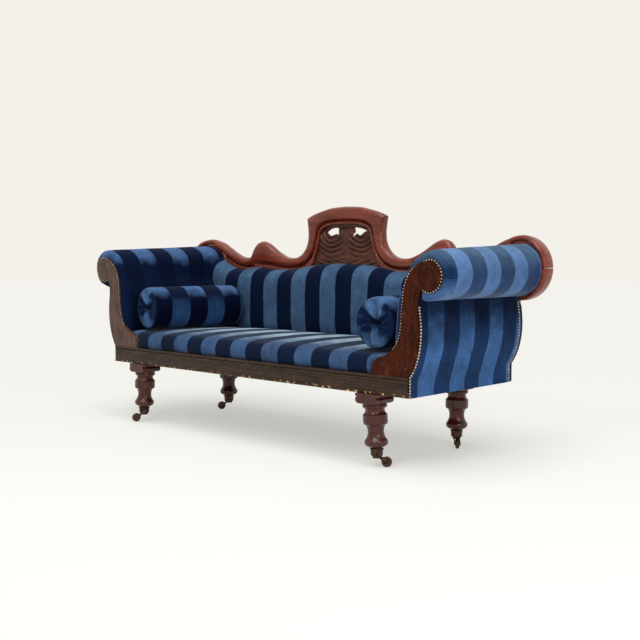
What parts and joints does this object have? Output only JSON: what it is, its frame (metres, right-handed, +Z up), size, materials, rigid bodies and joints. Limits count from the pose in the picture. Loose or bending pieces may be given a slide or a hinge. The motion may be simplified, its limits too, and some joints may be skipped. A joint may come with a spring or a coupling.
{
  "type": "scroll-arm settee",
  "caption": "Long sprung settee with rolled scroll arms, carved crest rail, striped velvet, loose bolsters and turned legs on swivelling casters.",
  "frame": {"origin": "on the floor under the middle of the overall box", "axes": "+X along the seat to the sitter's left, front faces -Y, +Z up"},
  "size_m": [2.084, 0.674, 0.9779],
  "materials": {
    "show_wood": "old polish, worn",
    "frame_wood": "bare sawn timber",
    "crest_wood": "french polish",
    "leg_wood": "french polish",
    "striped_velvet": "striped cotton velvet",
    "back_cloth": "velvet",
    "dust_cloth": "black lining cloth",
    "webbing": "jute",
    "spring_wire": "coppered wire",
    "nail_brass": "aged",
    "caster_bronze": "dark bronze"
  },
  "bodies": {
    "frame": {"arm_front_stumps": "frame_wood", "arm_rear_stumps": "frame_wood", "arm_tack_rails": "frame_wood", "arm_top_rails": "frame_wood", "back_seat_rail": "frame_wood", "back_stay_rails": "frame_wood", "back_tack_rail": "frame_wood", "back_top_rail": "frame_wood", "back_uprights": "frame_wood", "corner_blocks": "frame_wood", "crest_carved_panel": "crest_wood", "crest_centre_arch": "crest_wood", "crest_left_sweep": "crest_wood", "crest_right_sweep": "crest_wood", "dust_cover": "dust_cloth", "front_left_caster_socket": "caster_bronze", "front_left_leg": "leg_wood", "front_rail_moulding": "show_wood", "front_right_caster_socket": "caster_bronze", "front_right_leg": "leg_wood", "front_seat_rail": "frame_wood", "inside_back_cover": "striped_velvet", "left_arm_facing": "show_wood", "left_end_volute": "crest_wood", "left_inside_arm_cover": "striped_velvet", "left_nails": "nail_brass", "left_outside_arm_cover": "striped_velvet", "leg_blocks": "leg_wood", "outside_back_cover": "back_cloth", "rear_left_caster_socket": "caster_bronze", "rear_left_leg": "leg_wood", "rear_right_caster_socket": "caster_bronze", "rear_right_leg": "leg_wood", "right_arm_facing": "show_wood", "right_end_volute": "crest_wood", "right_inside_arm_cover": "striped_velvet", "right_nails": "nail_brass", "right_outside_arm_cover": "striped_velvet", "seat_cover": "striped_velvet", "seat_cross_rails": "frame_wood", "seat_hessian": "webbing", "seat_springs": "spring_wire", "seat_webbing": "webbing", "side_seat_rails": "frame_wood", "volute_returns": "crest_wood"},
    "front_left_swivel": {"front_left_caster_horn": "caster_bronze", "front_left_caster_axle": "caster_bronze"},
    "front_left_wheel": {"front_left_caster_wheel": "caster_bronze"},
    "front_right_swivel": {"front_right_caster_horn": "caster_bronze", "front_right_caster_axle": "caster_bronze"},
    "front_right_wheel": {"front_right_caster_wheel": "caster_bronze"},
    "rear_left_swivel": {"rear_left_caster_horn": "caster_bronze", "rear_left_caster_axle": "caster_bronze"},
    "rear_left_wheel": {"rear_left_caster_wheel": "caster_bronze"},
    "rear_right_swivel": {"rear_right_caster_horn": "caster_bronze", "rear_right_caster_axle": "caster_bronze"},
    "rear_right_wheel": {"rear_right_caster_wheel": "caster_bronze"},
    "left_bolster": {"left_bolster": "striped_velvet"},
    "right_bolster": {"right_bolster": "striped_velvet"}
  },
  "joints": [
    {"name": "front_left_caster_swivel", "type": "hinge", "parent": "frame", "child": "front_left_swivel", "pos_m": [-0.69701, -0.287, 0.04], "axis": [0, 0, 1], "continuous": true},
    {"name": "front_left_wheel_roll", "type": "hinge", "parent": "front_left_swivel", "child": "front_left_wheel", "pos_m": [-0.72291, -0.31201, 0.019], "axis": [0.6947, -0.7193, 0], "continuous": true},
    {"name": "front_right_caster_swivel", "type": "hinge", "parent": "frame", "child": "front_right_swivel", "pos_m": [0.69701, -0.287, 0.04], "axis": [0, 0, 1], "continuous": true},
    {"name": "front_right_wheel_roll", "type": "hinge", "parent": "front_right_swivel", "child": "front_right_wheel", "pos_m": [0.72418, -0.26338, 0.019], "axis": [-0.6561, 0.7547, 0], "continuous": true},
    {"name": "rear_left_caster_swivel", "type": "hinge", "parent": "frame", "child": "rear_left_swivel", "pos_m": [-0.686, 0.216, 0.04], "axis": [0, 0, 1], "continuous": true},
    {"name": "rear_left_wheel_roll", "type": "hinge", "parent": "rear_left_swivel", "child": "rear_left_wheel", "pos_m": [-0.71317, 0.19238, 0.019], "axis": [0.6561, -0.7547, 0], "continuous": true},
    {"name": "rear_right_caster_swivel", "type": "hinge", "parent": "frame", "child": "rear_right_swivel", "pos_m": [0.686, 0.216, 0.04], "axis": [0, 0, 1], "continuous": true},
    {"name": "rear_right_wheel_roll", "type": "hinge", "parent": "rear_right_swivel", "child": "rear_right_wheel", "pos_m": [0.70962, 0.18883, 0.019], "axis": [0.7547, 0.6561, 0], "continuous": true},
    {"name": "left_bolster_lift", "type": "slide", "parent": "frame", "child": "left_bolster", "axis": [0, 0, 1], "range_m": [0, 0.3]},
    {"name": "right_bolster_lift", "type": "slide", "parent": "frame", "child": "right_bolster", "axis": [0, 0, 1], "range_m": [0, 0.3]}
  ]
}
